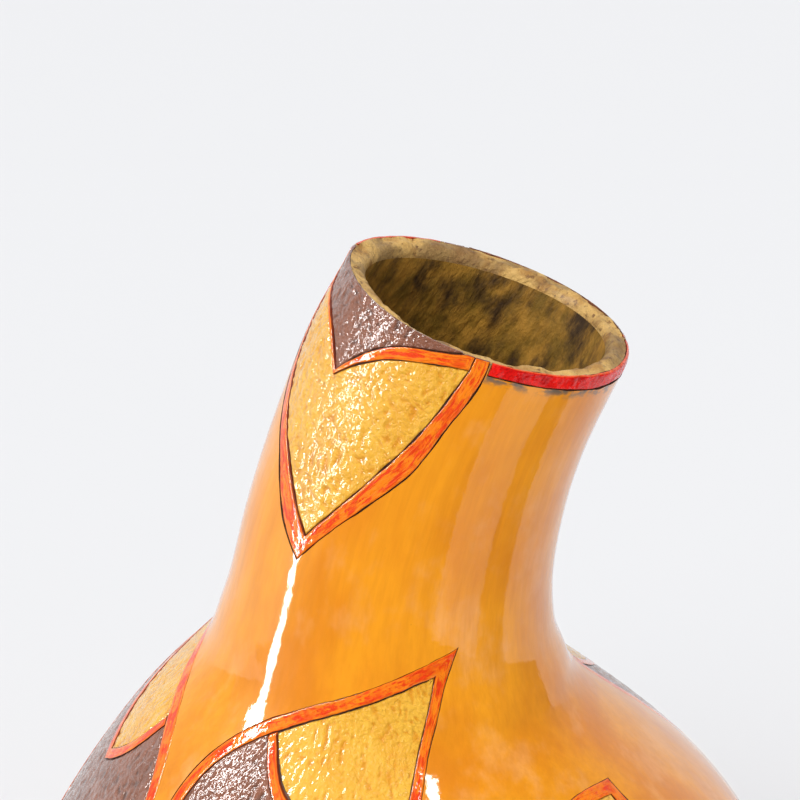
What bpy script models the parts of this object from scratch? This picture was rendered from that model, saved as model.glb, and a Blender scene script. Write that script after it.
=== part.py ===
"""A leaning bottle-gourd vase with two carved neck pendants, two rim bands, two belly tulips
and two small leaves. Every coloured coat is its own thin solid in a bed carved into the rind."""

import math

import bmesh
import bpy
import numpy as np
from mathutils import Vector
from mathutils.geometry import intersect_point_line

MM = 0.001

# The gourd: ring stations up the neck as (level above the foot, sideways shift of the ring's
# centre, lean of the ring to the right in degrees, ring radius), in millimetres, top first. The
# first is above the middle of the sawn mouth, whose high side reaches it.
NECK_STATIONS = (
    (310.0, 29.4, 34.4, 35.4),
    (304.0, 26.6, 32.2, 37.4),
    (298.0, 23.3, 29.8, 38.0),
    (290.0, 19.4, 26.4, 38.1),
    (282.0, 15.3, 23.5, 38.6),
    (264.0, 8.2, 19.9, 39.4),
    (246.0, 2.9, 14.9, 40.6),
    (232.0, -0.1, 12.0, 42.0),
    (222.0, -1.3, 10.3, 43.4),
    (214.0, -1.8, 9.1, 45.2),
    (207.0, -1.9, 7.7, 47.7),
    (200.0, -2.4, 5.9, 50.5),
    (192.0, -3.5, 3.9, 57.4),
    (182.0, -4.7, 1.5, 67.5),
    (168.0, -3.3, 0.2, 80.7),
    (148.0, -0.2, 0.0, 96.8),
)
BELLY_STATIONS = (0.0, 12.0, 30.0, 55.0, 90.0, 122.0)
MOUTH_LEVEL = 298.0 * MM
BELLY_RADIUS = 115.0 * MM
BELLY_LEVEL = 90.0 * MM
BELLY_RISE = 107.0 * MM
BELLY_DROP = 98.0 * MM
WALL = 6.2 * MM
FLOOR_THICKNESS = 7.0 * MM
FLAT_FLOOR_SHARE = 0.8

# The mouth is sawn askew: how far its edge stands above or below the mouth level, as waves of
# the angle round the gourd, fading out over the top of the neck.
RIM_MEAN = 0.75 * MM
RIM_WAVES = ((6.95 * MM, 3.45 * MM), (1.1 * MM, 0.25 * MM))
RIM_ZONE = 40.0 * MM

# Facets of the shell
SIDES = 40
OUTER_LEVELS = (310, 304, 298, 290, 281, 271, 260, 249, 238, 228, 220, 213, 207, 201, 195, 188,
                180, 170, 158, 145, 130, 112, 90, 70, 52, 36, 22, 11, 4, 0)
INNER_LEVELS = (298, 281, 260, 238, 220, 207, 195, 180, 158, 130, 90, 52, 22)

# Carving and coats
BED_DEPTH = 1.3 * MM
COAT_BOTTOM = 1.0 * MM
BAND_TOP = 0.1 * MM
FIELD_TOP = 0.4 * MM
GAP = 0.3 * MM
BAND_WIDTH = 3.2 * MM
DIVIDER_WIDTH = 2.4 * MM
RIM_BAND_HEIGHT = 3.8 * MM
SAW_OVERRUN = 2.0 * MM
NECK_UNROLL_RADIUS = 39.0 * MM
BELLY_UNROLL_RADIUS = 65.0 * MM
WELD = 0.02 * MM
SAME_POINT = 0.001 * MM
SHARPEST = 0.2
CROSSING = 0.97
SHARP_ANGLE = math.radians(25)

# Neck pendant: arms of its four V-shaped lines as (degrees round the gourd, mm below the rim),
# each right arm from the rim down to its tip, each left arm from the tip up to the rim.
OUTER_RIGHT = ((-90, 0), (-90, 9), (-93, 20), (-99, 34), (-108, 43), (-118.5, 52), (-130, 63))
OUTER_LEFT = ((-130, 63), (-143, 55), (-156, 45), (-171, 35.5), (-184, 20), (-192, 7), (-194, 0))
INSIDE_RIGHT = ((-95.5, 4), (-98, 16), (-104, 29), (-114, 41.5), (-123, 50.5), (-129.5, 57))
INSIDE_LEFT = ((-129.5, 57), (-143, 48), (-155, 41), (-170, 31), (-180, 19), (-187.5, 7.2))
INNER_LOW_RIGHT = ((-95.5, 4), (-105.5, 5.7), (-119, 9), (-132, 14.7), (-142, 21.8))
INNER_LOW_LEFT = ((-142, 21.8), (-152, 15.7), (-162, 12.4), (-173, 10.1), (-187.5, 7.2))
INNER_TOP_RIGHT = ((-98.5, 0), (-108, 2.3), (-118, 4.6), (-131, 10.6), (-142, 20.3))
INNER_TOP_LEFT = ((-142, 20.3), (-152, 14.2), (-162, 11.1), (-174, 8.6), (-188, 5.4))
RIM_RIGHT = ((-95.5, 0), (-95.5, 4))
RIM_LEFT = ((-187.5, 7.2), (-188, 5.4), (-189, 0))
PENDANT_B_TURN = 200.0

# Rim bands: first and last degree
RIM_BAND_A = (-88.0, 4.0)
RIM_BAND_B = (112.0, 164.0)

# Belly tulip petal: (degrees from the tulip's middle, mm below the mouth level)
TULIP_A_MIDDLE = -141.0
TULIP_B_MIDDLE = 64.0
TULIP_B_SPREAD = 0.86
PETAL_TOP = ((72.5, 74), (48, 84.7), (23, 95), (9.5, 102.5), (3.5, 109.5), (1.4, 121))
PETAL_MIDDLE = ((1.4, 121), (1.4, 190))
PETAL_SIDE = ((1.4, 190), (25, 174), (45, 148), (56, 122), (62, 100), (67, 86), (72.5, 74))
RIGHT_DIVIDER = (((17.5, 101), (21.5, 105.5), (27, 110.5), (37, 113.5), (56.5, 113.5)),)
LEFT_DIVIDER = (((17.5, 101), (22.5, 109), (31, 116)), ((31, 116), (42, 109), (60.5, 94)))
LEFT_PETAL_DROP = 9.0

# Small leaf between the tulips: (degrees, mm below the mouth level)
LEAF_TOP = ((-30, 116), (-41, 114.5), (-53, 118.5), (-60, 130), (-61, 148), (-55, 186))
LEAF_SIDE = ((-55, 186), (-42, 168), (-33, 146), (-30, 130), (-30, 116))
LEAF_B_TURN = 179.0

RIND = (0.80, 0.38, 0.09, 1.0)
STAIN = (0.78, 0.10, 0.02, 1.0)
GOLD = (0.85, 0.50, 0.10, 1.0)
BROWN = (0.16, 0.07, 0.04, 1.0)


def smooth_through(knots, values):
    """Return a function for the natural cubic curve through the values at rising knots."""
    knots = np.asarray(knots, float)
    values = np.asarray(values, float)
    count = len(knots)
    step = np.diff(knots)
    system = np.eye(count)
    right = np.zeros(count)
    for i in range(1, count - 1):
        system[i, i - 1] = step[i - 1]
        system[i, i] = 2 * (step[i - 1] + step[i])
        system[i, i + 1] = step[i]
        rise_after = (values[i + 1] - values[i]) / step[i]
        rise_before = (values[i] - values[i - 1]) / step[i - 1]
        right[i] = 6 * (rise_after - rise_before)
    bend = np.linalg.solve(system, right)

    def curve(place):
        place = np.asarray(place, float)
        i = np.clip(np.searchsorted(knots, place) - 1, 0, count - 2)
        low = place - knots[i]
        high = knots[i + 1] - place
        cubic = (bend[i] * high ** 3 + bend[i + 1] * low ** 3) / (6 * step[i])
        start = (values[i] / step[i] - bend[i] * step[i] / 6) * high
        end = (values[i + 1] / step[i] - bend[i + 1] * step[i] / 6) * low
        return cubic + start + end

    return curve


def belly_radius(level):
    """Radius of the round belly: one ellipse above its widest level, another below it."""
    reach = BELLY_RISE if level > BELLY_LEVEL else BELLY_DROP
    return BELLY_RADIUS * math.sqrt(1 - ((level - BELLY_LEVEL) / reach) ** 2)


def gourd_tables():
    """Shift, lean and radius of the gourd at each outer level, lowest level first."""
    belly = [(level, 0.0, 0.0, belly_radius(level * MM) / MM) for level in BELLY_STATIONS]
    levels, shifts, leans, radii = zip(*belly, *reversed(NECK_STATIONS))
    rows = np.array(sorted(OUTER_LEVELS), float)
    shift = smooth_through(levels, shifts)(rows) * MM
    lean = np.radians(smooth_through(levels, leans)(rows))
    radius = smooth_through(levels, radii)(rows) * MM
    return rows * MM, shift, lean, radius


LEVELS, SHIFTS, LEANS, RADII = gourd_tables()


def outer_radius(level):
    """Radius of the faceted outside at a level, on a corner between two facets."""
    return float(np.interp(level, LEVELS, RADII))


def facet(angle):
    """How much nearer the axis a flat side is at this angle than its corners."""
    step = 2 * math.pi / SIDES
    return math.cos(step / 2) / math.cos(angle % step - step / 2)


def rim_rise(angle):
    """Height of the sawn mouth's edge over the mouth level at an angle."""
    rise = RIM_MEAN
    for order, (cosine, sine) in enumerate(RIM_WAVES, start=1):
        rise += cosine * math.cos(order * angle) + sine * math.sin(order * angle)
    return rise


def leaned(point):
    """Carry a point of the upright gourd to the leaning one, with its askew mouth."""
    angle = math.atan2(point.y, point.x)
    fade = max(0.0, 1 - (MOUTH_LEVEL - point.z) / RIM_ZONE)
    level = point.z + rim_rise(angle) * fade ** 2
    swell = outer_radius(level) / outer_radius(point.z)
    lean = float(np.interp(level, LEVELS, LEANS))
    shift = float(np.interp(level, LEVELS, SHIFTS))
    sideways = point.x * swell
    return Vector((shift + sideways * math.cos(lean), point.y * swell,
                   level - sideways * math.sin(lean)))


def material(name, colour, roughness, coat):
    """Plain Principled material in a part's colour."""
    made = bpy.data.materials.new(name)
    made.use_nodes = True
    shader = made.node_tree.nodes["Principled BSDF"]
    shader.inputs["Base Color"].default_value = colour
    shader.inputs["Roughness"].default_value = roughness
    shader.inputs["Metallic"].default_value = 0.0
    shader.inputs["Coat Weight"].default_value = coat
    made.diffuse_color = colour
    return made


def new_object(name, bm):
    """Put a bmesh in the scene under a name and free it."""
    mesh = bpy.data.meshes.new(name)
    bm.to_mesh(mesh)
    bm.free()
    made = bpy.data.objects.new(name, mesh)
    bpy.context.scene.collection.objects.link(made)
    return made


def finish(made, surface):
    """Lean a finished upright solid with the gourd, smooth it and give it its material."""
    mesh = made.data
    for vertex in mesh.vertices:
        vertex.co = leaned(vertex.co)
    mesh.shade_smooth()
    mesh.set_sharp_from_angle(angle=SHARP_ANGLE)
    mesh.materials.clear()
    mesh.materials.append(surface)


# Lines on the unrolled gourd: x is the angle times a fixed radius, y is the level.

def line(points, steps, unroll, turn=0.0):
    """Sample a smooth line through (degrees, mm below the mouth level) points."""
    points = np.array(points, float)
    across = np.radians(points[:, 0] + turn) * unroll
    level = MOUTH_LEVEL - points[:, 1] * MM
    if len(points) == 2:
        ticks = np.array([0.0, 1.0])
    else:
        ticks = np.append(0.0, np.cumsum(np.hypot(np.diff(across), np.diff(level))))
    even = np.linspace(0.0, ticks[-1], steps + 1)
    return list(zip(smooth_through(ticks, across)(even), smooth_through(ticks, level)(even)))


def joined(*lines):
    """Join lines end to end into one closed loop, dropping points that repeat."""
    loop = []
    for piece in lines:
        for point in piece:
            if not loop or math.dist(loop[-1], point) > SAME_POINT:
                loop.append(point)
    if math.dist(loop[0], loop[-1]) < SAME_POINT:
        loop.pop()
    return loop


def offset(points, distance, closed=False):
    """Shift a run of points to its left by a distance, mitred at the corners."""
    count = len(points)
    moved = []
    for i, point in enumerate(points):
        before = points[i - 1] if closed or i > 0 else point
        after = points[(i + 1) % count] if closed or i < count - 1 else point
        here = Vector(point)
        sides = [v.normalized() for v in (here - Vector(before), Vector(after) - here) if v.length]
        normals = [Vector((-v.y, v.x)) for v in sides]
        middle = sum(normals, Vector((0.0, 0.0))).normalized()
        reach = distance / max(middle.dot(normals[0]), SHARPEST)
        moved.append(tuple(here + middle * reach))
    return moved


def distance_to(point, loop):
    """Distance from a point to a closed loop."""
    here = Vector(point)
    shortest = math.inf
    for start, end in zip(loop, loop[1:] + loop[:1]):
        along, share = intersect_point_line(here, Vector(start), Vector(end))
        if share <= 0:
            along = Vector(start)
        elif share >= 1:
            along = Vector(end)
        shortest = min(shortest, (here - along.to_2d()).length)
    return shortest


def inset(loop, distance):
    """Shrink a closed loop by a distance, or grow it where negative, without crossings."""
    turned = sum(a[0] * b[1] - b[0] * a[1] for a, b in zip(loop, loop[1:] + loop[:1]))
    moved = offset(loop, math.copysign(distance, distance * turned), True)
    return [point for point in moved if distance_to(point, loop) > CROSSING * abs(distance)]


def nearest(loop, point):
    """Index of the loop's point nearest to a point."""
    return min(range(len(loop)), key=lambda i: math.dist(loop[i], point))


def stretch(loop, start, end):
    """Points of a closed loop from one index forward to another."""
    last = end if end >= start else end + len(loop)
    return [loop[i % len(loop)] for i in range(start, last + 1)]


def inlay(name, loop, top, bottom, unroll, hole=None):
    """Upright solid of an unrolled loop between two depths below the faceted outside."""
    bm = bmesh.new()
    for edge_loop in (loop, hole) if hole else (loop,):
        verts = [bm.verts.new((x, y, 0.0)) for x, y in edge_loop]
        for start, end in zip(verts, verts[1:] + verts[:1]):
            bm.edges.new((start, end))
    if hole:
        bmesh.ops.triangle_fill(bm, edges=bm.edges[:], use_beauty=True)
    else:
        bm.faces.new(bm.verts[:])
    cut_along_facets(bm, unroll)
    flat = bm.faces[:]
    raised = bmesh.ops.extrude_face_region(bm, geom=flat)
    for item in raised["geom"]:
        if isinstance(item, bmesh.types.BMVert):
            item.co.z = 1.0
    bmesh.ops.triangulate(bm, faces=bm.faces[:])
    bmesh.ops.recalc_face_normals(bm, faces=bm.faces)
    for vert in bm.verts:
        angle = vert.co.x / unroll
        depth = top if vert.co.z > 0.5 else bottom
        reach = (outer_radius(vert.co.y) - depth) * facet(angle)
        vert.co = (reach * math.cos(angle), reach * math.sin(angle), vert.co.y)
    if bm.calc_volume(signed=True) < 0:
        bmesh.ops.reverse_faces(bm, faces=bm.faces)
    return new_object(name, bm)


def cut_along_facets(bm, unroll):
    """Cut an unrolled sheet along the shell's meridians and rings, so that it folds with them."""
    xs = [vert.co.x for vert in bm.verts]
    ys = [vert.co.y for vert in bm.verts]
    width = 2 * math.pi / SIDES * unroll
    cuts = []
    for i in range(math.ceil(min(xs) / width), math.floor(max(xs) / width) + 1):
        cuts.append((Vector((i * width, 0.0, 0.0)), Vector((1.0, 0.0, 0.0))))
    for level in LEVELS:
        if min(ys) < level < max(ys):
            cuts.append((Vector((0.0, level, 0.0)), Vector((0.0, 1.0, 0.0))))
    for place, facing in cuts:
        everything = bm.verts[:] + bm.edges[:] + bm.faces[:]
        bmesh.ops.bisect_plane(bm, geom=everything, dist=1e-5, plane_co=place, plane_no=facing)


def upright_shell():
    """The hollow gourd before it leans: one profile spun round the upright axis."""
    profile = [(0.0, 0.0)]
    profile += [(outer_radius(level), level) for level in LEVELS if level <= MOUTH_LEVEL]
    inner_levels = [level * MM for level in INNER_LEVELS]
    for level in inner_levels:
        slope = (outer_radius(level + MM) - outer_radius(level - MM)) / (2 * MM)
        if level >= MOUTH_LEVEL:
            slope = 0.0
        length = math.hypot(1.0, slope)
        inside = (outer_radius(level) - WALL / length, level + WALL * slope / length)
        if inside[1] > FLOOR_THICKNESS:
            profile.append(inside)
    profile.append((profile[-1][0] * FLAT_FLOOR_SHARE, FLOOR_THICKNESS))
    profile.append((0.0, FLOOR_THICKNESS))
    bm = bmesh.new()
    verts = [bm.verts.new((x, 0.0, z)) for x, z in profile]
    edges = [bm.edges.new(pair) for pair in zip(verts, verts[1:])]
    bmesh.ops.spin(bm, geom=verts + edges, cent=(0, 0, 0), axis=(0, 0, 1), dvec=(0, 0, 0),
                   angle=2 * math.pi, steps=SIDES, use_merge=True)
    bmesh.ops.remove_doubles(bm, verts=bm.verts, dist=SAME_POINT)
    bmesh.ops.recalc_face_normals(bm, faces=bm.faces)
    return new_object("gourd_shell", bm)


def carve(shell, beds):
    """Take the beds out of the upright shell with one cutter that holds them all."""
    bm = bmesh.new()
    for bed_cutter in beds:
        bm.from_mesh(bed_cutter.data)
        bpy.data.objects.remove(bed_cutter)
    cutter = new_object("beds", bm)
    cutter.hide_render = True
    cutter.display_type = "WIRE"
    cut = shell.modifiers.new("beds", "BOOLEAN")
    cut.operation = "DIFFERENCE"
    cut.solver = "EXACT"
    cut.object = cutter
    bpy.context.view_layer.update()
    depsgraph = bpy.context.evaluated_depsgraph_get()
    carved = bpy.data.meshes.new_from_object(shell.evaluated_get(depsgraph))
    shell.modifiers.clear()
    shell.data = carved
    bpy.data.objects.remove(cutter)
    bm = bmesh.new()
    bm.from_mesh(carved)
    bmesh.ops.remove_doubles(bm, verts=bm.verts, dist=WELD)
    bmesh.ops.dissolve_degenerate(bm, edges=bm.edges, dist=WELD)
    bmesh.ops.triangulate(bm, faces=bm.faces[:])
    bm.to_mesh(carved)
    bm.free()


def bed(loop, unroll):
    """Cutter for a carved bed: the outline from the bed's floor out past the rind."""
    return inlay("bed", loop, -SAW_OVERRUN, BED_DEPTH, unroll)


def coat(name, loop, top, unroll, surface, hole=None):
    """A coloured coat in its bed, a gap short of its outline."""
    opening = inset(hole, -GAP) if hole else None
    made = inlay(name, inset(loop, GAP), top, COAT_BOTTOM, unroll, opening)
    finish(made, surface)


def pendant(letter, turn, surfaces):
    """Neck pendant: outer band, gold field, inner band and brown field; returns its bed."""
    unroll = NECK_UNROLL_RADIUS

    def arm(points, steps):
        return line(points, steps, unroll, turn)

    outer = arm(OUTER_RIGHT, 9) + arm(OUTER_LEFT, 10)
    inside = arm(INSIDE_RIGHT, 8) + arm(INSIDE_LEFT, 8)
    inner_low = arm(INNER_LOW_RIGHT, 6) + arm(INNER_LOW_LEFT, 6)
    inner_top = arm(INNER_TOP_RIGHT, 6) + arm(INNER_TOP_LEFT, 6)
    rim_right = arm(RIM_RIGHT, 1)
    rim_left = arm(RIM_LEFT, 2)
    names = ("outer_band", "gold_field", "inner_band", "brown_field")
    band_loop = joined(outer, list(reversed(rim_left)), list(reversed(inside)),
                       list(reversed(rim_right)))
    gold_loop = joined(inside, list(reversed(inner_low)))
    inner_loop = joined(rim_right, inner_low, rim_left[:2], list(reversed(inner_top)))
    brown_loop = joined(inner_top, rim_left[1:])
    tops = (BAND_TOP, FIELD_TOP, BAND_TOP, FIELD_TOP)
    loops = (band_loop, gold_loop, inner_loop, brown_loop)
    for part, loop, top, surface in zip(names, loops, tops, surfaces):
        coat("pendant_%s_%s" % (letter, part), loop, top, unroll, surface)
    over = MOUTH_LEVEL + SAW_OVERRUN
    return bed(joined([(outer[0][0], over)], outer, [(outer[-1][0], over)]), unroll)


def rim_band(letter, span, surface):
    """Red band round part of the mouth's edge; returns its bed."""
    unroll = NECK_UNROLL_RADIUS
    low = MOUTH_LEVEL - RIM_BAND_HEIGHT
    left, right = (math.radians(angle) * unroll for angle in span)
    loop = [(left, low), (right, low), (right, MOUTH_LEVEL), (left, MOUTH_LEVEL)]
    coat("rim_band_%s" % letter, loop, BAND_TOP, unroll, surface)
    over = MOUTH_LEVEL + SAW_OVERRUN
    return bed([(left, low), (right, low), (right, over), (left, over)], unroll)


def petal(name, middle, side, spread, drop, stain, gold, brown):
    """One tulip petal: outline band, divider, gold field and brown field; returns its bed."""
    unroll = BELLY_UNROLL_RADIUS

    def edge(points, steps):
        placed = [(middle + side * spread * across, down + drop) for across, down in points]
        return line(placed, steps, unroll)

    outline = joined(edge(PETAL_TOP, 10), edge(PETAL_MIDDLE, 4), edge(PETAL_SIDE, 12))
    if side < 0:
        outline.reverse()
    inner = inset(outline, BAND_WIDTH)
    runs = [edge(points, 8) for points in (RIGHT_DIVIDER if side > 0 else LEFT_DIVIDER)]
    path = runs[0] + [point for run in runs[1:] for point in run[1:]]
    if side < 0:
        path.reverse()
    above = offset(path, DIVIDER_WIDTH / 2)
    below = offset(path, -DIVIDER_WIDTH / 2)
    first = nearest(inner, path[0])
    last = nearest(inner, path[-1])
    above = [inner[(first - 1) % len(inner)]] + above[1:-1] + [inner[(last + 1) % len(inner)]]
    below = [inner[(first + 1) % len(inner)]] + below[1:-1] + [inner[(last - 1) % len(inner)]]
    gold_loop = stretch(inner, (last + 1) % len(inner), (first - 1) % len(inner))
    brown_loop = stretch(inner, (first + 1) % len(inner), (last - 1) % len(inner))
    divider_loop = (stretch(inner, (first - 1) % len(inner), (first + 1) % len(inner)) + below[1:-1]
                    + stretch(inner, (last - 1) % len(inner), (last + 1) % len(inner))
                    + list(reversed(above[1:-1])))
    coat(name + "_outline_band", outline, BAND_TOP, unroll, stain, inner)
    coat(name + "_divider_band", divider_loop, BAND_TOP, unroll, stain)
    coat(name + "_gold_field", joined(gold_loop, above), FIELD_TOP, unroll, gold)
    coat(name + "_brown_field", joined(brown_loop, list(reversed(below))), FIELD_TOP, unroll, brown)
    return bed(outline, unroll)


def leaf(letter, turn, stain, gold):
    """Small leaning leaf between the tulips: outline band and gold field; returns its bed."""
    unroll = BELLY_UNROLL_RADIUS
    outline = joined(line(LEAF_TOP, 10, unroll, turn), line(LEAF_SIDE, 6, unroll, turn))
    inner = inset(outline, BAND_WIDTH)
    coat("leaf_%s_outline_band" % letter, outline, BAND_TOP, unroll, stain, inner)
    coat("leaf_%s_gold_field" % letter, inner, FIELD_TOP, unroll, gold)
    return bed(outline, unroll)


def build():
    """Make the whole vase."""
    for old in list(bpy.data.objects):
        bpy.data.objects.remove(old)
    shell = upright_shell()
    rind = material("rind", RIND, 0.35, 1.0)
    stain = material("red_stain", STAIN, 0.3, 1.0)
    gold = material("gold_field", GOLD, 0.4, 1.0)
    brown = material("brown_field", BROWN, 0.45, 1.0)
    beds = []
    beds.append(pendant("a", 0.0, (stain, gold, stain, brown)))
    beds.append(pendant("b", PENDANT_B_TURN, (stain, gold, stain, brown)))
    beds.append(rim_band("a", RIM_BAND_A, stain))
    beds.append(rim_band("b", RIM_BAND_B, stain))
    tulips = (("a", TULIP_A_MIDDLE, 1.0), ("b", TULIP_B_MIDDLE, TULIP_B_SPREAD))
    for letter, middle, spread in tulips:
        for word, side, drop in (("right", 1, 0.0), ("left", -1, LEFT_PETAL_DROP)):
            name = "tulip_%s_%s" % (letter, word)
            beds.append(petal(name, middle, side, spread, drop, stain, gold, brown))
    beds.append(leaf("a", 0.0, stain, gold))
    beds.append(leaf("b", LEAF_B_TURN, stain, gold))
    carve(shell, beds)
    finish(shell, rind)


build()
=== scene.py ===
"""Carved gourd vase: the grown shell with its sawn mouth and carved beds, and each stained and
lacquered coat as its own piece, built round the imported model."""

import math

import bmesh
import bpy
import numpy as np
from bpy.props import FloatProperty, FloatVectorProperty, PointerProperty
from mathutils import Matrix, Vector, kdtree, noise


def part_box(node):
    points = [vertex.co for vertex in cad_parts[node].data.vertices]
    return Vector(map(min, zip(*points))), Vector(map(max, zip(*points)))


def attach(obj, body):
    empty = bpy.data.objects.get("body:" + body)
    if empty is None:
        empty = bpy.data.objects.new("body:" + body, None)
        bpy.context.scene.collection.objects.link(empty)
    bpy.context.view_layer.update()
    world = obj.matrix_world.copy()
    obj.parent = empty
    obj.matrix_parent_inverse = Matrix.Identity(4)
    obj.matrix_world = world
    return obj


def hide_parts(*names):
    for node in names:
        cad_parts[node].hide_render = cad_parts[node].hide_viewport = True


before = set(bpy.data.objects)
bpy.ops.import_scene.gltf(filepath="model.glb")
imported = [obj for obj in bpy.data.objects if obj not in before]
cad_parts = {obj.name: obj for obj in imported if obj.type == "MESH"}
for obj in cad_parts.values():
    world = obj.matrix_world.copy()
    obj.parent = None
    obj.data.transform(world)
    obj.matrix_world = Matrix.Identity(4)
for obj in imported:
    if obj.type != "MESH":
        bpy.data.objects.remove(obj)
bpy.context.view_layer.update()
SHELL_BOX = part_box("gourd_shell")

bl_info = {
    "name": "Carved Gourd Vase",
    "version": (1, 0, 0),
    "blender": (4, 5, 0),
    "location": "View3D > Sidebar > Gourd",
    "description": "Builds a carved, burnt, stained and lacquered gourd vase",
    "category": "Add Mesh",
}

MM = 0.001

# The gourd: ring stations up the neck as (level above the foot, sideways shift of the ring's
# centre, lean of the ring to the right in degrees, ring radius), in millimetres, top first.
NECK_STATIONS = (
    (310.0, 29.4, 34.4, 35.4),
    (304.0, 26.6, 32.2, 37.4),
    (298.0, 23.3, 29.8, 38.0),
    (290.0, 19.4, 26.4, 38.1),
    (282.0, 15.3, 23.5, 38.6),
    (264.0, 8.2, 19.9, 39.4),
    (246.0, 2.9, 14.9, 40.6),
    (232.0, -0.1, 12.0, 42.0),
    (222.0, -1.3, 10.3, 43.4),
    (214.0, -1.8, 9.1, 45.2),
    (207.0, -1.9, 7.7, 47.7),
    (200.0, -2.4, 5.9, 50.5),
    (192.0, -3.5, 3.9, 57.4),
    (182.0, -4.7, 1.5, 67.5),
    (168.0, -3.3, 0.2, 80.7),
    (148.0, -0.2, 0.0, 96.8),
)
BELLY_STATIONS = (0.0, 12.0, 30.0, 55.0, 90.0, 122.0)
MOUTH_LEVEL = 298.0 * MM
BELLY_RADIUS = (SHELL_BOX[1][0] - SHELL_BOX[0][0]) / 2
BELLY_LEVEL = 90.0 * MM
BELLY_RISE = 107.0 * MM
BELLY_DROP = 98.0 * MM
FLOOR_THICKNESS = 7.0 * MM

# The mouth is sawn askew: waves of the edge's height round the gourd, fading down the neck.
RIM_MEAN = 0.75 * MM
RIM_WAVES = ((6.95 * MM, 3.45 * MM), (1.1 * MM, 0.25 * MM))
RIM_ZONE = 40.0 * MM
RIM_SINK = 0.35 * MM

# Neck pendant: arms of its four V-shaped lines as (degrees round the gourd, mm below the rim),
# each right arm from the rim down to its tip, each left arm from the tip up to the rim.
OUTER_RIGHT = ((-90, 0), (-90, 9), (-93, 20), (-99, 34), (-108, 43), (-118.5, 52), (-130, 63))
OUTER_LEFT = ((-130, 63), (-143, 55), (-156, 45), (-171, 35.5), (-184, 20), (-192, 7), (-194, 0))
INSIDE_RIGHT = ((-95.5, 4), (-98, 16), (-104, 29), (-114, 41.5), (-123, 50.5), (-129.5, 57))
INSIDE_LEFT = ((-129.5, 57), (-143, 48), (-155, 41), (-170, 31), (-180, 19), (-187.5, 7.2))
INNER_LOW_RIGHT = ((-95.5, 4), (-105.5, 5.7), (-119, 9), (-132, 14.7), (-142, 21.8))
INNER_LOW_LEFT = ((-142, 21.8), (-152, 15.7), (-162, 12.4), (-173, 10.1), (-187.5, 7.2))
INNER_TOP_RIGHT = ((-98.5, 0), (-108, 2.3), (-118, 4.6), (-131, 10.6), (-142, 20.3))
INNER_TOP_LEFT = ((-142, 20.3), (-152, 14.2), (-162, 11.1), (-174, 8.6), (-188, 5.4))
INNER_END_RIGHT = ((-95.5, 0), (-95.5, 4))
INNER_END_LEFT = ((-187.5, 7.2), (-188, 5.4))
BROWN_END_LEFT = ((-188, 5.4), (-189, 0))
PENDANT_TURNS = {"a": 0.0, "b": 200.0}

# Rim bands: first and last degree
RIM_BANDS = {"a": (-89.2, 4.0), "b": (112.0, 164.0)}

# Belly tulips: degree of the middle and spread of the petals, and one petal's lines as (degrees
# from the middle, mm below the mouth level)
TULIPS = {"a": (-141.0, 1.0), "b": (64.0, 0.86)}
PETALS = {"right": (1, 0.0), "left": (-1, 9.0)}
PETAL_TOP = ((72.5, 74), (48, 84.7), (23, 95), (9.5, 102.5), (3.5, 109.5), (1.4, 121))
PETAL_MIDDLE = ((1.4, 121), (1.4, 190))
PETAL_SIDE = ((1.4, 190), (25, 174), (45, 148), (56, 122), (62, 100), (67, 86), (72.5, 74))
DIVIDERS = {
    "right": (((17.5, 101), (21.5, 105.5), (27, 110.5), (37, 113.5), (56.5, 113.5)),),
    "left": (((17.5, 101), (22.5, 109), (31, 116)), ((31, 116), (42, 109), (60.5, 94))),
}

# Small leaves between the tulips: (degrees, mm below the mouth level)
LEAF_TOP = ((-30, 116), (-41, 114.5), (-53, 118.5), (-60, 130), (-61, 148), (-55, 186))
LEAF_SIDE = ((-55, 186), (-42, 168), (-33, 146), (-30, 130), (-30, 116))
LEAF_TURNS = {"a": 0.0, "b": 179.0}

NECK_UNROLL_RADIUS = 39.0 * MM
BELLY_UNROLL_RADIUS = 65.0 * MM
SHARPEST = 0.2

# The sawn edge's rounded profile as (mm in from the outside, mm below the top)
SAWN_EDGE = ((0.1, 0.4), (0.4, 0.12), (0.9, 0.0), (1.5, 0.0), (2.1, 0.0), (2.7, 0.0), (3.3, 0.0),
             (3.9, 0.05), (4.5, 0.25), (5.1, 0.6), (5.6, 1.1), (5.95, 1.8))

# Studio: where the lights face, and black cards as (first, last degree, near, far in metres)
NECK_MIDDLE = Vector((0.0, 0.0, 0.23))
DARK_CARDS = ((-75, 26, 0.14, 30.0), (58, 80, 0.28, 0.95), (26, 110, 0.95, 30.0))

# Places of the shell's materials in its list
RIND, RIM, INSIDE, CHAR = range(4)

# Fineness of the meshes
SKIN_SIDES = 256
OUTLINE_STEP = 0.6 * MM
COAT_CELL = 0.62 * MM
BED_CELL = 4.0 * MM
LIP = 0.4 * MM
LIP_DROP = 0.16 * MM
SAW_OVERRUN = 2.0 * MM
STROKE_PULL = 6.0


# ---------------------------------------------------------------------------------- settings

class GourdShape(bpy.types.PropertyGroup):
    """Sizes of the shell that a maker would change."""
    wall: FloatProperty(name="Wall", description="Thickness of the rind", default=6.2 * MM,
                        unit="LENGTH")
    waviness: FloatProperty(name="Waviness", description="Depth of the hollows the shell grew with",
                            default=0.5 * MM, unit="LENGTH")
    rim_roughness: FloatProperty(name="Rim roughness", description="Height of the sawn rim's lumps",
                                 default=1.0 * MM, unit="LENGTH")


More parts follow.
